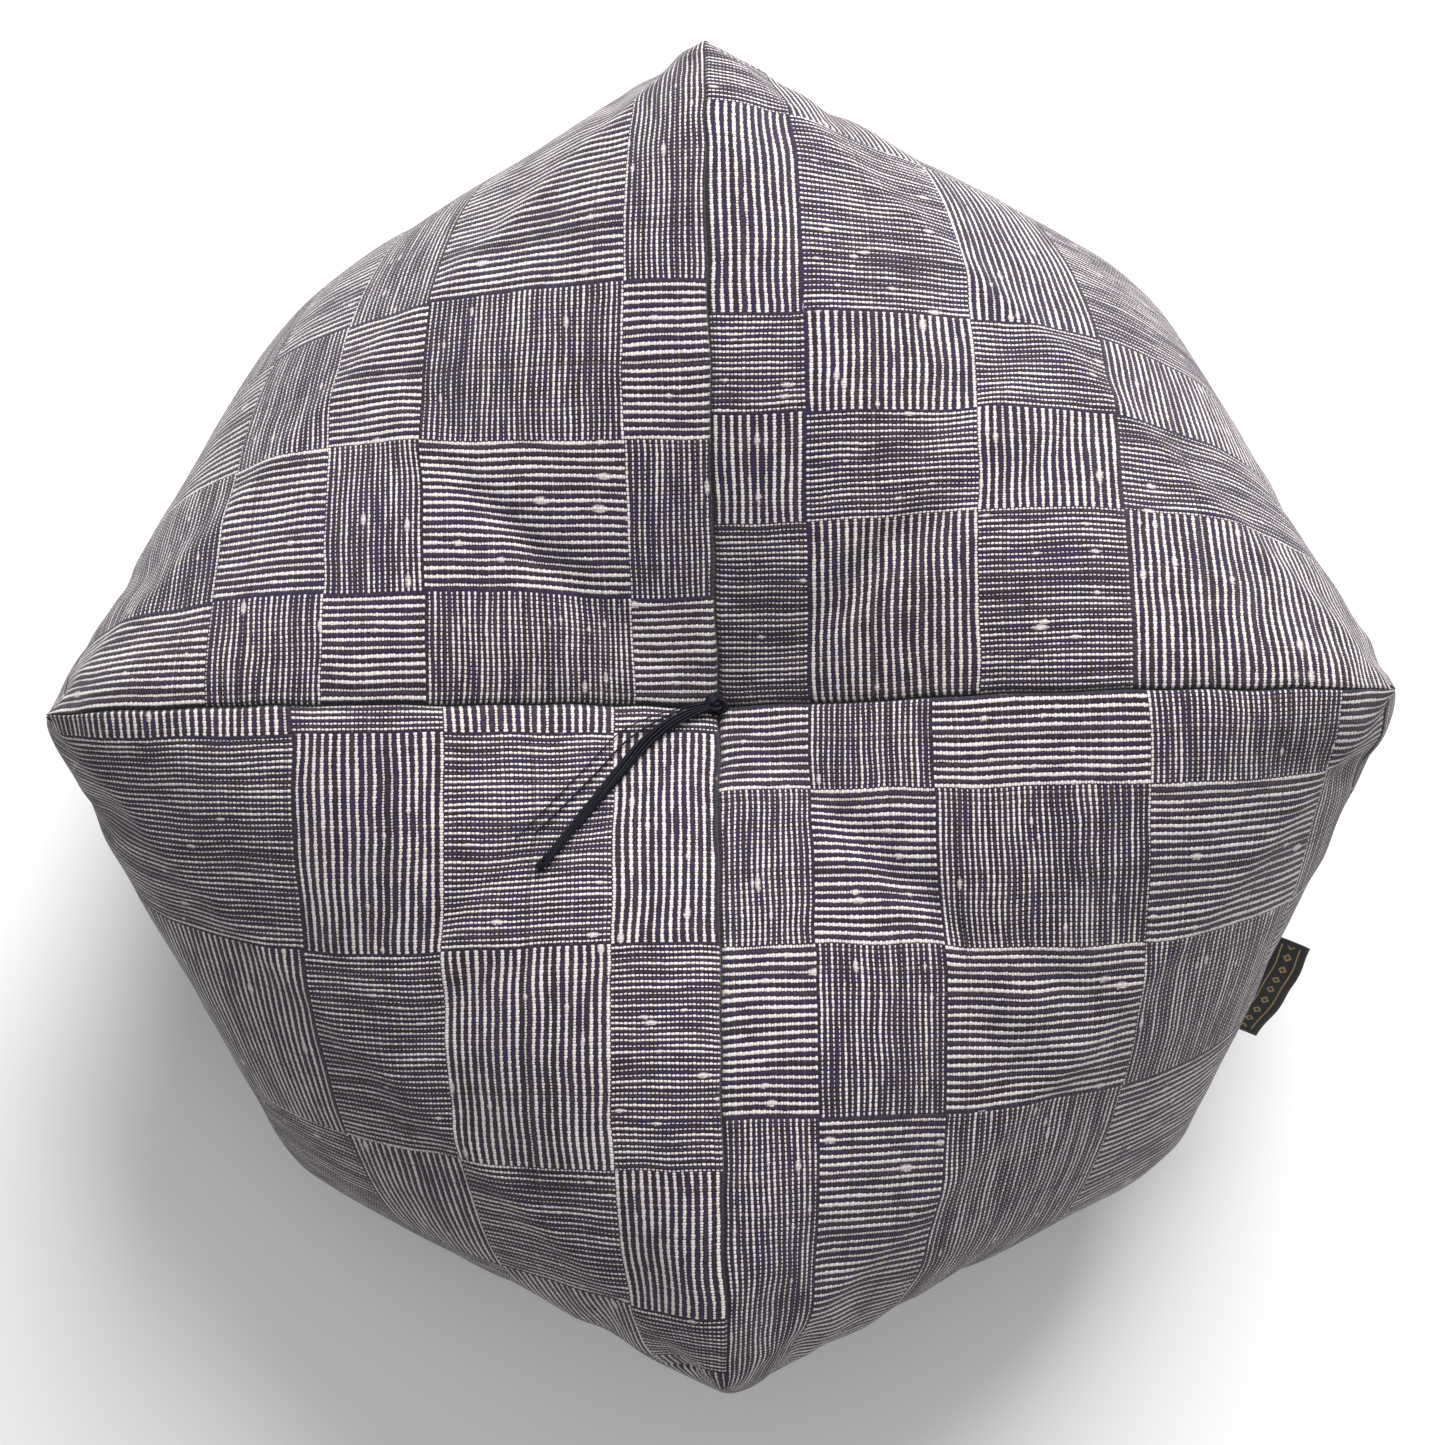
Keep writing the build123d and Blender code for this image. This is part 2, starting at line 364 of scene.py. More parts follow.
# for each panel: breaks along it, breaks across it, and the phase
BREAKS = {
    "back_right": ((37, 104, 160, 292, 341, 402, 470, 520), (71, 112, 150, 238), 1),
    "back_left": ((43, 103, 163, 288, 352, 410, 480, 531), (33, 113, 153, 197), 0),
    "front_left": ((42, 107, 163, 300, 352, 420, 470, 530), (11, 95, 180, 236, 268), 1),
    "front_right": ((35, 97, 161, 290, 350, 410, 470, 525), (36, 85, 166, 243), 0),
}
QUARTERS = list(BREAKS)
cloths = [log_cabin(f"cloth_{name}", *BREAKS[name], seed=index + 1.0)
          for index, name in enumerate(QUARTERS)]
thread_dark = plain_fibre("thread_dark", (0.003, 0.003, 0.007), (0.010, 0.009, 0.020),
                          1400, 0.65, 0.0, 0.5, 0.0002)
wadding = plain_fibre("wadding", (0.80, 0.79, 0.75), (0.93, 0.92, 0.89), 160, 0.95, 0.4, 0.8, 0.002)


# ---------------------------------------------------------------- cover: sew, stuff and let it settle
CELLS = 28           # simulated cells across a panel; twice as many along it
SMOOTHINGS = 2       # each doubles the cells after the simulation
TUFT_TOP = 0.066     # where the tuft holds the cloth, above and below the middle
TUFT_BASE = -0.066
FLOOR = -0.124
DRAWN_BY = 12        # the frame by which the tuft is drawn in
LAST_FRAME = 42
HEIGHT = 0.236


def flat_facets(cells):
    """Four panels folded over a square antiprism whose edges are one panel wide, true to length."""
    half = math.sqrt(1 - (2 - 2 * math.cos(math.pi / 4))) / 2
    points = np.zeros((4, cells + 1, 2 * cells + 1, 3))
    short_side, long_side = np.arange(cells + 1) / cells, np.arange(2 * cells + 1) / cells
    across, along = np.meshgrid(short_side, long_side, indexing="ij")

    def rim(turn, height):
        return np.array([math.cos(turn), math.sin(turn), height])

    for quarter in range(4):
        turn = quarter * math.pi / 2
        top, base = np.array([0, 0, half]), np.array([0, 0, -half])
        near, far = rim(turn, half), rim(turn + math.pi / 2, half)
        low_near, low_far = rim(turn - math.pi / 4, -half), rim(turn + math.pi / 4, -half)
        facets = (
            (along + across <= 1, (0, 0), 1, top, near, far),
            ((along + across >= 1) & (along <= 1), (1, 1), -1, low_far, far, near),
            ((along >= 1) & (along - 1 + across <= 1), (1, 0), 1, near, low_near, low_far),
            ((along >= 1) & (along - 1 + across >= 1), (2, 1), -1, base, low_far, low_near),
        )
        for chosen, origin, sign, corner, next_along, next_across in facets:
            s = (along[chosen] - origin[0])[:, None] * sign
            t = (across[chosen] - origin[1])[:, None] * sign
            points[quarter][chosen] = corner + s * (next_along - corner) + t * (next_across - corner)
    return points * WIDTH


def sewn_cover(points):
    """One mesh with neighbouring panels joined along their seams, mapped in panel widths."""
    numbers, corners = {}, []
    index = np.zeros(points.shape[:3], int)
    for where in np.ndindex(*points.shape[:3]):
        key = tuple(np.round(points[where], 5) + 0.0)
        if key not in numbers:
            numbers[key] = len(corners)
            corners.append(points[where])
        index[where] = numbers[key]
    faces, maps = [], []
    for quarter in range(4):
        grid = index[quarter]
        for row in range(CELLS):
            for column in range(2 * CELLS):
                ring = ((row, column), (row, column + 1), (row + 1, column + 1), (row + 1, column))
                faces.append([int(grid[r, c]) for r, c in ring])
                maps += [value for r, c in ring for value in (c / CELLS, r / CELLS)]
    mesh = bpy.data.meshes.new("sewn_cover")
    mesh.from_pydata([tuple(p) for p in corners], [], faces)
    mesh.uv_layers.new(name="weave").data.foreach_set("uv", maps)
    on_seams = set()
    for grid in index:
        for line in (grid[0], grid[-1], grid[:, 0], grid[:, -1]):
            on_seams |= {frozenset((int(a), int(b))) for a, b in zip(line, line[1:])}
    crease = mesh.attributes.new("crease_edge", "FLOAT", "EDGE")
    crease.data.foreach_set("value", [float(frozenset(e.vertices) in on_seams) for e in mesh.edges])
    made = bpy.data.objects.new("sewn_cover", mesh)
    scene.collection.objects.link(made)
    return made, int(index[0][0, 0]), int(index[0][-1, -1])


def settle():
    """Blender's cloth, blown up by its filling, held at the tuft and resting on the floor.
    Gives each panel's points by row across and column along, with the lowest at height 0."""
    cover, top, base = sewn_cover(flat_facets(CELLS))
    jitter = rng.normal(0.0, 0.0005, (len(cover.data.vertices), 3))
    for vertex, shift in zip(cover.data.vertices, jitter):
        vertex.co += Vector(shift)
    cover.shape_key_add(name="flat")
    drawn = cover.shape_key_add(name="drawn")
    drawn.data[top].co = (0.0, 0.0, TUFT_TOP)
    drawn.data[base].co = (0.0, 0.0, TUFT_BASE)
    drawn.value = 0.0
    drawn.keyframe_insert("value", frame=1)
    drawn.value = 1.0
    drawn.keyframe_insert("value", frame=DRAWN_BY)
    held = cover.vertex_groups.new(name="tuft")
    held.add([top, base], 1.0, "REPLACE")
    ground_corners = [(x, y, FLOOR) for x, y in ((-1, -1), (1, -1), (1, 1), (-1, 1))]
    ground = mesh_object("settling_floor", ground_corners, [(0, 1, 2, 3)], wadding)
    ground.modifiers.new("floor", "COLLISION")
    ground.collision.thickness_outer = 0.002
    cloth = cover.modifiers.new("cloth", "CLOTH")
    fabric = cloth.settings
    fabric.quality = 8
    fabric.mass = 0.3
    fabric.tension_stiffness = 60
    fabric.compression_stiffness = 5
    fabric.shear_stiffness = 8
    fabric.bending_stiffness = 0.5
    fabric.tension_damping = 25
    fabric.compression_damping = 25
    fabric.use_pressure = True
    fabric.uniform_pressure_force = 110
    fabric.vertex_group_mass = "tuft"
    fabric.pin_stiffness = 1.0
    fabric.effector_weights.gravity = 0.03
    cloth.collision_settings.distance_min = 0.002
    cloth.collision_settings.friction = 20
    cloth.collision_settings.use_self_collision = False
    scene.frame_start, scene.frame_end = 1, LAST_FRAME
    cloth.point_cache.frame_start, cloth.point_cache.frame_end = 1, LAST_FRAME
    for step in range(1, LAST_FRAME + 1):
        scene.frame_set(step)
    smooth = cover.modifiers.new("smooth", "SUBSURF")
    smooth.levels = SMOOTHINGS
    smooth.uv_smooth = "NONE"
    smooth.boundary_smooth = "PRESERVE_CORNERS"
    done = cover.evaluated_get(bpy.context.evaluated_depsgraph_get()).to_mesh()
    fine = CELLS * 2 ** SMOOTHINGS
    where = np.empty(len(done.vertices) * 3)
    done.vertices.foreach_get("co", where)
    where = where.reshape(-1, 3)
    loops = np.empty(len(done.loops), int)
    done.loops.foreach_get("vertex_index", loops)
    spots = np.empty(len(done.loops) * 2)
    done.uv_layers["weave"].data.foreach_get("uv", spots)
    spots = np.rint(spots.reshape(-1, 2) * fine).astype(int)
    panels = np.zeros((4, fine + 1, 2 * fine + 1, 3))
    share = len(loops) // 4
    for quarter in range(4):
        part = slice(quarter * share, (quarter + 1) * share)
        panels[quarter][spots[part, 1], spots[part, 0]] = where[loops[part]]
    panels[..., 2] -= where[:, 2].min()
    cover.evaluated_get(bpy.context.evaluated_depsgraph_get()).to_mesh_clear()
    bpy.data.objects.remove(cover)
    bpy.data.objects.remove(ground)
    scene.frame_set(1)
    return panels


panels = settle()
panels[..., 2] *= HEIGHT / panels[..., 2].max()
FINE = panels.shape[1] - 1

# each corner, above and at the base, is blunted by this much over this reach
UPPER_CORNER, UPPER_BLUNTING, UPPER_REACH = FINE, 0.0075, 0.025
BASE_CORNER, BASE_BLUNTING, BASE_REACH = -1, 0.0080, 0.032
for quarter in range(4):
    for column, blunting, reach in ((UPPER_CORNER, UPPER_BLUNTING, UPPER_REACH),
                                    (BASE_CORNER, BASE_BLUNTING, BASE_REACH)):
        tip = panels[quarter][0, column].copy()
        inward = -tip * (1, 1, 0) / np.linalg.norm(tip[:2])
        near = np.exp(-(np.linalg.norm(panels - tip, axis=-1) / reach) ** 2)
        panels += near[..., None] * inward * blunting


# ---------------------------------------------------------------- panels: turned edges, seams and thickness
CELL = WIDTH / FINE
CLOTH = 0.0011       # the cloth's thickness
EDGE_ROUND = 0.0022  # how far from the seam the cloth starts to turn in, and how deep it turns
GROOVE = 0.0022
BEVEL = 0.0013       # the gentler fall on each side of a seam, and how far out it starts
BEVEL_REACH = 0.016
ALLOWANCE = 0.007    # the seam allowance turned inside


def welded(field):
    """The mean across each seam, written back to both panels."""
    n = field.shape[1] - 1
    out = field.copy()
    for quarter in range(4):
        after = (quarter + 1) % 4
        pairs = (((quarter, slice(None), 0), (after, 0, slice(0, n + 1))),
                 ((quarter, n, slice(0, n + 1)), (after, 0, slice(n, 2 * n + 1))),
                 ((quarter, n, slice(n, 2 * n + 1)), (after, slice(None), 2 * n)))
        for one, other in pairs:
            mean = (out[one] + out[other]) / 2
            out[one] = mean
            out[other] = mean
    for row, column in ((0, 0), (n, 2 * n)):
        out[:, row, column] = out[:, row, column].mean(0)
    return out


def unit(field):
    return field / np.maximum(np.linalg.norm(field, axis=-1, keepdims=True), 1e-9)


def normals_of(grid):
    return unit(np.cross(np.gradient(grid, axis=2), np.gradient(grid, axis=1)))


def soft_noise(points, scale, seed):
    """Smooth sums of sines in the row frame, the same on both sides of a seam."""
    local = np.random.default_rng(seed)
    total = np.zeros(points.shape[:-1])
    for _ in range(7):
        direction = unit(local.normal(size=3)) / scale * local.uniform(0.6, 1.5)
        total += np.sin(2 * np.pi * (points @ direction) + local.uniform(0, 6.28))
    return total / 7


# beside a seam both panels share one outward direction
own_normals = normals_of(panels)
shared_normals = unit(welded(own_normals))
rows = np.arange(FINE + 1)
columns = np.arange(2 * FINE + 1)
gap_across = np.minimum(rows, FINE - rows) * CELL
gap_along = np.minimum(columns, 2 * FINE - columns) * CELL
seam_gap = np.minimum(gap_across[:, None], gap_along[None, :])
near_seam = np.exp(-(seam_gap / 0.006) ** 2)[None, ..., None]
normals = unit(own_normals * (1 - near_seam) + shared_normals * near_seam)

# hand-stuffed unevenness, and the slight gathers that machine stitching leaves beside a seam
uneven = 0.0016 * soft_noise(panels, 0.17, 11) + 0.0006 * soft_noise(panels, 0.06, 12)
gather = 0.00085 * soft_noise(panels, 0.022, 13) * np.exp(-seam_gap / 0.011)[None]
panels = panels + normals * (uneven + gather)[..., None]
LEAST_HEIGHT = 0.0004
panels[..., 2] = np.maximum(panels[..., 2], LEAST_HEIGHT + 0.25 * np.maximum(panels[..., 2], 0))


def finer_lines(count):
    """Grid lines with extra ones close to each end, in cells."""
    near = [0.0, 0.12, 0.3, 0.55, 0.85, 1.25, 1.7]
    return np.array(near + list(range(2, count - 1)) + [count - x for x in reversed(near)])


def sample(field, at_rows, at_columns):
    """The field read between its rows and columns."""
    r = np.clip(np.floor(at_rows).astype(int), 0, field.shape[0] - 2)
    c = np.clip(np.floor(at_columns).astype(int), 0, field.shape[1] - 2)
    fr = (at_rows - r)[:, None, None]
    fc = (at_columns - c)[None, :, None]
    upper = field[np.ix_(r, c)] * (1 - fc) + field[np.ix_(r, c + 1)] * fc
    lower = field[np.ix_(r + 1, c)] * (1 - fc) + field[np.ix_(r + 1, c + 1)] * fc
    return upper * (1 - fr) + lower * fr


def cover_panel(quarter, name):
    """One panel of the cover, with its edges turned in at the seams and its allowance inside."""
    at_rows, at_columns = finer_lines(FINE), finer_lines(2 * FINE)
    grid = sample(panels[quarter], at_rows, at_columns)
    outward = unit(sample(normals[quarter], at_rows, at_columns))
    edge_rows = np.minimum(at_rows, FINE - at_rows) * CELL
    edge_columns = np.minimum(at_columns, 2 * FINE - at_columns) * CELL
    drops = [BEVEL * np.clip(1 - gap / BEVEL_REACH, 0, 1) ** 2
             + GROOVE * (1 - np.sqrt(np.clip(1 - np.clip(1 - gap / EDGE_ROUND, 0, 1) ** 2, 0, 1)))
             for gap in (edge_rows, edge_columns)]
    drop = np.maximum(drops[0][:, None], drops[1][None, :])
    grid = grid - outward * drop[..., None]
    height, width = len(at_rows), len(at_columns)
    points = list(grid.reshape(-1, 3))
    map_points = [(c / FINE * WIDTH, r / FINE * WIDTH) for r in at_rows for c in at_columns]
    number = np.arange(height * width).reshape(height, width)
    faces = [(number[r, c], number[r, c + 1], number[r + 1, c + 1], number[r + 1, c])
             for r in range(height - 1) for c in range(width - 1)]
    ring = ([(0, c) for c in range(width)]
            + [(r, width - 1) for r in range(1, height)]
            + [(height - 1, c) for c in range(width - 2, -1, -1)]
            + [(r, 0) for r in range(height - 2, 0, -1)])
    turned = []
    for r, c in ring:
        turned.append(len(points))
        points.append(grid[r, c] - outward[r, c] * ALLOWANCE)
        map_points.append(map_points[number[r, c]])
    for step, (r, c) in enumerate(ring):
        following = (step + 1) % len(ring)
        nr, nc = ring[following]
        faces.append((number[nr, nc], number[r, c], turned[step], turned[following]))
    panel = mesh_object(f"cover_{name}", points, faces, cloths[quarter])
    weave = panel.data.uv_layers.new(name="weave")
    flat = [value for face in faces for corner in face for value in map_points[corner]]
    weave.data.foreach_set("uv", flat)
    thick = panel.modifiers.new("cloth thickness", "SOLIDIFY")
    thick.thickness = CLOTH
    thick.offset = -1.0
    stand_for(panel, f"panel_{name}")
    return panel


covers = [cover_panel(quarter, name) for quarter, name in enumerate(QUARTERS)]

# ---------------------------------------------------------------- wadding inside the cover
LUMPS = 0.003      # unevenness, as a share of the size
TUFT_SINK = 0.011  # how far it draws away from the cover round the tuft
MIDDLE = 0.48      # the height of its middle, as a share of the cushion's


def wadding_skin(scale, seed):
    """A closed skin like the cover's, drawn in towards the middle: its points and faces."""
    centre = np.array([0.0, 0.0, panels[..., 2].max() * MIDDLE])
    coarse = panels[:, ::4, ::4]
    swell = 1 + LUMPS * soft_noise(coarse, 0.05, seed)[..., None]
    sink = TUFT_SINK * np.exp(-(np.linalg.norm(coarse[..., :2], axis=-1) / 0.15) ** 2)
    coarse = centre + (coarse - centre) * scale * swell - normals[:, ::4, ::4] * sink[..., None]
    numbers, points, faces = {}, [], []
    index = np.zeros(coarse.shape[:3], int)
    for where in np.ndindex(*coarse.shape[:3]):
        key = tuple(np.round(coarse[where], 5) + 0.0)
        if key not in numbers:
            numbers[key] = len(points)
            points.append(coarse[where])
        index[where] = numbers[key]
    for grid in index:
        for r in range(grid.shape[0] - 1):
            for c in range(grid.shape[1] - 1):
                faces.append((grid[r, c], grid[r, c + 1], grid[r + 1, c + 1], grid[r + 1, c]))
    return points, faces


def wadding_piece(node, skins):
    """A piece of wadding between an outer skin and, where there is one, an inner skin."""
    points, faces = [], []
    for inward, (skin_points, skin_faces) in enumerate(skins):
        first = len(points)
        points += list(skin_points)
        faces += [tuple(int(v) + first for v in (face[::-1] if inward else face)) for face in skin_faces]
    piece = mesh_object(f"{node}_batting", points, faces, wadding)
    stand_for(piece, node)
    return piece


wrap = wadding_piece("wadding_wrap", [wadding_skin(0.94, 31), wadding_skin(0.89, 32)])
wadding_piece("wadding_core", [wadding_skin(0.88, 33)])


# ---------------------------------------------------------------- threads
def tube(path, radius, sides=6):
    """Points and faces of a round, closed tube along path; radius may vary along it."""
    path = np.asarray(path, float)
    radius = np.broadcast_to(radius, len(path))
    heading = unit(np.gradient(path, axis=0))
    side = unit(np.cross(heading[0], [0.31, 0.17, 0.93]))
    points, faces = [], []
    for place, ahead, thick in zip(path, heading, radius):
        side = side - ahead * (side @ ahead)
        side /= np.linalg.norm(side)
        other = np.cross(ahead, side)
        for step in range(sides):
            angle = 2 * math.pi * step / sides
            points.append(place + thick * (math.cos(angle) * side + math.sin(angle) * other))
    for ring in range(len(path) - 1):
        for step in range(sides):
            a, b = ring * sides + step, ring * sides + (step + 1) % sides
            faces.append((a, b, b + sides, a + sides))
    faces.append(tuple(reversed(range(sides))))
    faces.append(tuple(range(len(points) - sides, len(points))))
    return points, faces


def joined(name, tubes):
    """Several tubes as one piece of dark thread."""
    points, faces = [], []
    for tube_points, tube_faces in tubes:
        first = len(points)
        points += tube_points
        faces += [tuple(int(v) + first for v in face) for face in tube_faces]
    return mesh_object(name, points, faces, thread_dark)


def seam_run(quarter):
    """One seam from the top of the tuft round to the base: its points, outward and along directions."""
    path = np.concatenate([panels[quarter][0], panels[quarter][1:, -1]])
    outward = np.concatenate([normals[quarter][0], normals[quarter][1:, -1]])
    return path, outward, unit(np.gradient(path, axis=0))


def resampled(values, spacing, path):
    """The values at even spacing along the path, and how far along each lies."""
    reach = np.concatenate([[0], np.cumsum(np.linalg.norm(np.diff(path, axis=0), axis=1))])
    at = np.arange(0, reach[-1], spacing)
    return np.stack([np.interp(at, reach, values[:, axis]) for axis in range(3)], axis=1), at


OPENING = 0.150         # the hand-closed stretch, at the inner end of the front seam
MACHINE_STITCH = 0.003
HAND_STITCH = 0.0022
THREAD_DEPTH = 0.0007   # the machine thread's depth below the bottom of the groove
for quarter, name in enumerate(("seam_right", "seam_back", "seam_left", "seam_front")):
    path, outward, _ = seam_run(quarter)
    line, at = resampled(path, MACHINE_STITCH / 4, path)
    lift, _ = resampled(outward, MACHINE_STITCH / 4, path)
    keep = at < at[-1] - (OPENING if name == "seam_front" else MACHINE_STITCH)
    keep &= at > MACHINE_STITCH
    line, lift, at = line[keep], lift[keep], at[keep]
    lock = 0.0003 * np.sin(2 * np.pi * at / MACHINE_STITCH)[:, None]
    sewn = line - lift * (BEVEL + GROOVE + THREAD_DEPTH + lock)
    stand_for(joined(f"{name}_thread", [tube(sewn, 0.00028, 5)]), name)

path, outward, heading = seam_run(3)
line, at = resampled(path, HAND_STITCH, path)
lift, _ = resampled(outward, HAND_STITCH, path)
ahead, _ = resampled(heading, HAND_STITCH, path)
keep = (at > at[-1] - OPENING) & (at < at[-1] - 0.006)
line, lift, ahead = line[keep], unit(lift[keep]), unit(ahead[keep])
across = unit(np.cross(lift, ahead))
swing = np.array([0, 1, 0, -1])[np.arange(len(line)) % 4][:, None]
sunk = np.where(np.abs(swing) > 0, 0.0016, 0.0030)
closing_path = line + across * swing * 0.0024 - lift * sunk
closing = joined("closing_stitch_thread", [tube(closing_path, 0.00035, 6)])
stand_for(closing, "closing_stitches")


COIL_STEPS = 26


def coil(radius, turns, rise, centre, tilt, thick):
    """A few turns of thread about an axis that leans, and the bearing that it leans to."""
    angles = np.linspace(0, 2 * math.pi * turns, int(COIL_STEPS * turns))
    climb = rise * (angles / angles[-1] - 0.5)
    loop = np.stack([radius * np.cos(angles), radius * np.sin(angles), climb], axis=1)
    (lean_cos, turn_cos), (lean_sin, turn_sin) = np.cos(tilt), np.sin(tilt)
    lean = np.array([[1, 0, 0], [0, lean_cos, -lean_sin], [0, lean_sin, lean_cos]])
    turn = np.array([[turn_cos, -turn_sin, 0], [turn_sin, turn_cos, 0], [0, 0, 1]])
    return tube(loop @ lean.T @ turn.T + np.array(centre), thick, 8)


top_z = panels[0][0, 0][2]
base_z = panels[0][-1, -1][2]
knot = joined("tuft_knot_wound", [
    coil(0.0037, 2.2, 0.0018, (-0.0012, 0.0006, top_z + 0.0012), (0.15, 0.4), 0.0008),
    coil(0.0027, 2.6, 0.0016, (-0.0012, 0.0008, top_z + 0.0034), (0.35, 2.0), 0.0008),
    coil(0.0030, 2.3, 0.0020, (-0.0020, 0.0010, top_z + 0.0024), (1.25, 0.9), 0.0008),
    coil(0.0013, 2.6, 0.0020, (-0.0010, 0.0006, top_z + 0.0030), (0.9, 3.0), 0.0009),
    coil(0.0024, 1.1, 0.0010, (0.0012, -0.0004, top_z + 0.0042), (0.5, 5.2), 0.0007),
])
stand_for(knot, "tuft_knot")
under = joined("base_knot_wound", [
    coil(0.0028, 2.2, 0.0016, (0, 0, base_z - 0.0012), (0.1, 1.4), 0.0009),
    coil(0.0019, 1.8, 0.0012, (0, 0, base_z - 0.0030), (0.4, 0.3), 0.0009),
    coil(0.0022, 1.3, 0.0010, (0, 0, base_z - 0.0020), (1.3, 2.2), 0.0009),
])
stand_for(under, "base_knot")
tuft_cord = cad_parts["tuft_cord"].data
tuft_cord.materials.clear()
tuft_cord.materials.append(thread_dark)

# ---------------------------------------------------------------- tassel
bpy.context.view_layer.update()


def laid(points, clearance):
    """The route's own points, each let down to a clearance above the cloth below it."""
    resting = []
    for x, y, z in points:
        best = z
        for cover in covers:
            hit, place, _, _ = cover.ray_cast(Vector((x, y, 0.35)), Vector((0, 0, -1)))
            if hit:
                best = place.z + clearance
                break
        resting.append((x, y, best))
    return resting


def route(name, points, diameter):
    """A round cord whose middle line is a spline through the route's own points."""
    data = bpy.data.curves.new(name, "CURVE")
    data.dimensions = "3D"
    data.resolution_u = 16
    spline = data.splines.new("NURBS")
    spline.points.add(len(points) - 1)
    for point, place in zip(spline.points, points):
        point.co = (*place, 1.0)
        point.radius = diameter / 2
    spline.order_u = 3
    spline.use_endpoint_u = True
    data.bevel_depth = 1.0
    data.bevel_resolution = 3
    made = bpy.data.objects.new(name, data)
    scene.collection.objects.link(made)
    return made


def line_points(curve):
    """The points along a route's middle line, read with no bevel."""
    bevel, curve.data.bevel_depth = curve.data.bevel_depth, 0.0
    bpy.context.view_layer.update()
    mesh = bpy.data.meshes.new_from_object(curve.evaluated_get(bpy.context.evaluated_depsgraph_get()))
    points = np.array([v.co for v in mesh.vertices])
    curve.data.bevel_depth = bevel
    bpy.data.meshes.remove(mesh)
    return points


def steps_along(line):
    """The distance from each point of a line to the next."""
    return np.linalg.norm(np.diff(line, axis=0), axis=1)


knot_start = (-0.0022, -0.0004, top_z + 0.0040)
bundle_route = [(-0.020, -0.005, 0), (-0.044, -0.034, 0), (-0.068, -0.063, 0)]
bundle_points = [knot_start] + laid(bundle_route, 0.0024)
guide = route("tassel_guide", bundle_points, 0.004)
middle = line_points(guide)
bpy.data.objects.remove(guide)
bundle_length = float(steps_along(middle).sum())
reach = np.concatenate([[0], np.cumsum(steps_along(middle))]) / bundle_length
heading = unit(np.gradient(middle, axis=0))
sideways = unit(np.cross(heading, [0, 0, 1]))
upward = np.cross(sideways, heading)

# one thread in the middle, then a ring of five and a ring of ten; every third is full length
THREAD_RADIUS = 0.00042
threads = []
places = [(0.0, 0.0)] + [(0.0009, 2 * math.pi * k / 5) for k in range(5)]
places += [(0.0018, 2 * math.pi * (k + 0.4) / 10) for k in range(10)]
for number, (away, start) in enumerate(places):
    wander = rng.uniform(-0.25, 0.25)
    stop = 1.0 if number % 3 == 0 else rng.uniform(0.965, 1.0)
    part = reach <= stop
    share = reach[part]
    turn = start + 2.6 * share + wander * np.sin(share * 9 + start)
    belly = 0.42 * np.sin(np.clip(share * 1.25, 0, 1) * math.pi)
    spread = away * (0.72 + belly + 0.10 * np.sin(share * 13 + start * 3))
    aside = (np.cos(turn) * spread)[:, None] * sideways[part]
    aloft = (np.sin(turn) * spread * 0.8)[:, None] * upward[part]
    twist = 1 + 0.12 * np.sin(share * 150 + number)
    threads.append(tube(middle[part] + aside + aloft, THREAD_RADIUS * twist, 7))
bundle = joined("tassel_bundle_threads", threads)
stand_for(bundle, "tassel_bundle")

STRAND_CLEARANCE = 0.0020
STRANDS = (
    ("tassel_strand_1", 0.0005, (-0.0005, 0.0015, top_z + 0.0044),
     [(-0.032, -0.0035, 0), (-0.052, -0.027, 0), (-0.0765, -0.052, 0)]),
    ("tassel_strand_2", 0.0008, (-0.0026, 0.0024, top_z + 0.0030),
     [(-0.029, -0.0064, 0), (-0.0488, -0.0302, 0), (-0.0693, -0.050, 0)]),
)
for name, diameter, start, rest in STRANDS:
    strand = route(f"{name}_thread", [start] + laid(rest, diameter / 2 + STRAND_CLEARANCE), diameter)
    strand.data.materials.append(thread_dark)
    stand_for(strand, name)
    strand_length = float(steps_along(line_points(strand)).sum())


# ---------------------------------------------------------------- woven tag in the right side seam
DIAMOND_PITCH = 6.0        # in millimetres, as are the next four
DIAMOND_OUT = 7.2
DIAMOND_SIZES = (1.9, 0.9)
BORDERS_OUT = (3.4, 11.0)
FIGURE_ENDS = (3.0, 51.0)


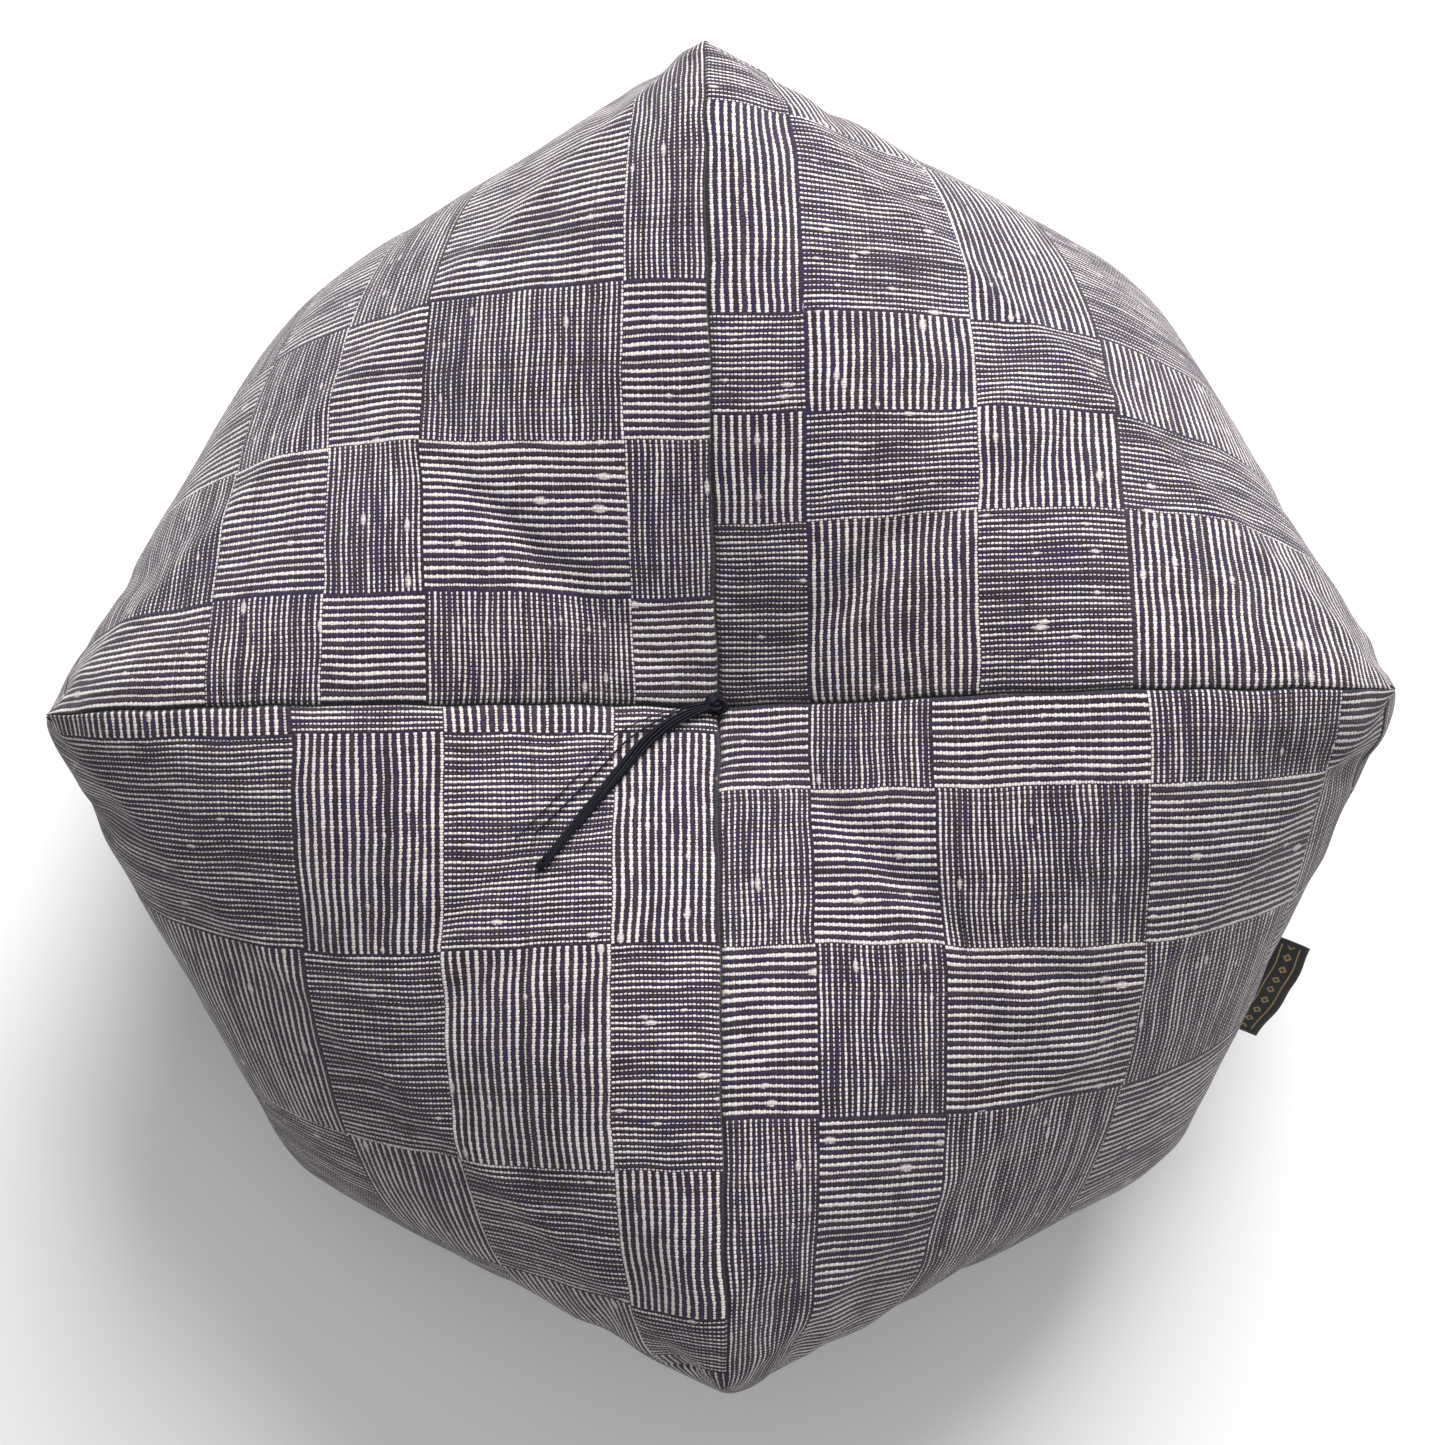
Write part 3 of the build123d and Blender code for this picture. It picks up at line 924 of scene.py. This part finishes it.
def tag_material():
    """Dark ribbon with a row of small gold diamonds between two gold lines."""
    g = Graph("tag_ribbon")
    place = g.node("ShaderNodeUVMap", uv_map="weave").outputs[0]
    split = g.node("ShaderNodeSeparateXYZ", (place,)).outputs
    along, out = g.mul(split[0], MM), g.mul(split[1], MM)
    within = g.sub(g.math("FRACT", g.mul(along, 1 / DIAMOND_PITCH)), 0.5)
    repeat = g.mul(g.math("ABSOLUTE", within), DIAMOND_PITCH)
    diamond = g.add(repeat, g.math("ABSOLUTE", g.sub(out, DIAMOND_OUT)))
    figure = g.sub(*(g.math("LESS_THAN", diamond, size) for size in DIAMOND_SIZES))
    for border in BORDERS_OUT:
        line = g.math("LESS_THAN", g.math("ABSOLUTE", g.sub(out, border)), 0.28)
        figure = g.math("MAXIMUM", figure, line)
    first, last = FIGURE_ENDS
    figure = g.mul(figure, g.math("GREATER_THAN", along, first), g.math("LESS_THAN", along, last))
    ribs = g.math("ABSOLUTE", g.math("SINE", g.mul(along, math.pi / 0.34)))
    picks = g.math("ABSOLUTE", g.math("SINE", g.mul(out, math.pi / 0.28)))
    weave = g.mul(g.add(0.5, g.mul(0.5, ribs)), g.add(0.6, g.mul(0.4, picks)))
    # painted shade: the ground and the gold are darker between the ribs and picks and lighter on their
    # tops, following the same relief that the bump raises
    ground = g.blend(weave, (0.006, 0.005, 0.006, 1.0), (0.022, 0.019, 0.020, 1.0))
    gold = g.blend(weave, (0.20, 0.12, 0.04, 1.0), (0.52, 0.36, 0.14, 1.0))
    g.put(g.shader.inputs["Base Color"], g.blend(figure, ground, gold))
    g.shader.inputs["Roughness"].default_value = 0.6
    g.shader.inputs["Sheen Weight"].default_value = 0.2
    g.bump(g.add(weave, g.mul(figure, 0.5)), 0.6, 0.00015)
    return g.material


TAG_LENGTH = 0.054   # along the seam
TAG_OUT = 0.0145     # how far it stands out of the seam, and how deep it is held inside
TAG_ROOT = 0.0040
TAG_SHIFT = 0.0105   # up the seam, from its nearest point to the CAD tag
TAG_STEPS = 36
SEAM_SPACING = 0.0005
tag_low, tag_high = (Vector(corner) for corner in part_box("woven_tag"))
tag_middle = np.array((tag_low + tag_high) / 2)
side_path, side_out, _ = seam_run(0)
side_path, side_out = side_path[FINE:2 * FINE + 1], side_out[FINE:2 * FINE + 1]
fine_path, _ = resampled(side_path, SEAM_SPACING, side_path)
fine_out, _ = resampled(side_out, SEAM_SPACING, side_path)
nearest = int(np.argmin(np.linalg.norm(fine_path - tag_middle, axis=1)))
nearest -= round(TAG_SHIFT / SEAM_SPACING)
tag_reach = np.linspace(-TAG_LENGTH / 2, TAG_LENGTH / 2, TAG_STEPS + 1)
picked = nearest + np.rint(tag_reach / SEAM_SPACING).astype(int)
roots, outs = fine_path[picked], unit(fine_out[picked])
mean_out = unit(outs.mean(0))
run = unit(roots[-1] - roots[0])
flat = unit(np.cross(run, mean_out))

# the folded ribbon's section: out along one layer, round the fold and back along the other
half_gap = 0.00042
layers = [(-TAG_ROOT + (TAG_OUT + TAG_ROOT) * k / 10) for k in range(11)]
section = [(out, half_gap) for out in layers[:-1]]
section += [(TAG_OUT - 0.0001, 0.0003), (TAG_OUT, 0.0), (TAG_OUT - 0.0001, -0.0003)]
section += [(out, -half_gap) for out in layers[-2::-1]]
tag_points, tag_maps, tag_faces = [], [], []
for step in range(TAG_STEPS + 1):
    share = step / TAG_STEPS
    wave = 0.0005 * math.sin(share * 5.0 + 0.6)
    for out, gap in section:
        rise = max(out, 0.0) / TAG_OUT
        direction = unit(outs[step] * (1 - 0.5 * rise) + mean_out * 0.5 * rise)
        bend = flat * (wave * rise + 0.0011 * rise * rise)
        tag_points.append(roots[step] + direction * out + flat * gap * (0.6 + 0.4 * rise) + bend)
        tag_maps.append((share * TAG_LENGTH, out))
count = len(section)
for step in range(TAG_STEPS):
    for k in range(count - 1):
        a = step * count + k
        tag_faces.append((a, a + 1, a + 1 + count, a + count))
tag = mesh_object("woven_tag_ribbon", tag_points, tag_faces, tag_material())
tag_weave = tag.data.uv_layers.new(name="weave")
tag_flat = [value for face in tag_faces for corner in face for value in tag_maps[corner]]
tag_weave.data.foreach_set("uv", tag_flat)
tag_thick = tag.modifiers.new("ribbon thickness", "SOLIDIFY")
tag_thick.thickness = 0.0003
tag_thick.offset = 1.0
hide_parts("woven_tag")
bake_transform(tag)

# ---------------------------------------------------------------- floor
floor_graph = Graph("studio_floor")
floor_graph.shader.inputs["Base Color"].default_value = (0.95, 0.95, 0.95, 1.0)
floor_graph.shader.inputs["Roughness"].default_value = 0.8
floor_corners = [(-6, -6, 0), (6, -6, 0), (6, 6, 0), (-6, 6, 0)]
floor = mesh_object("studio_floor", floor_corners, [(0, 1, 2, 3)], floor_graph.material)
floor.location.z = -0.0006
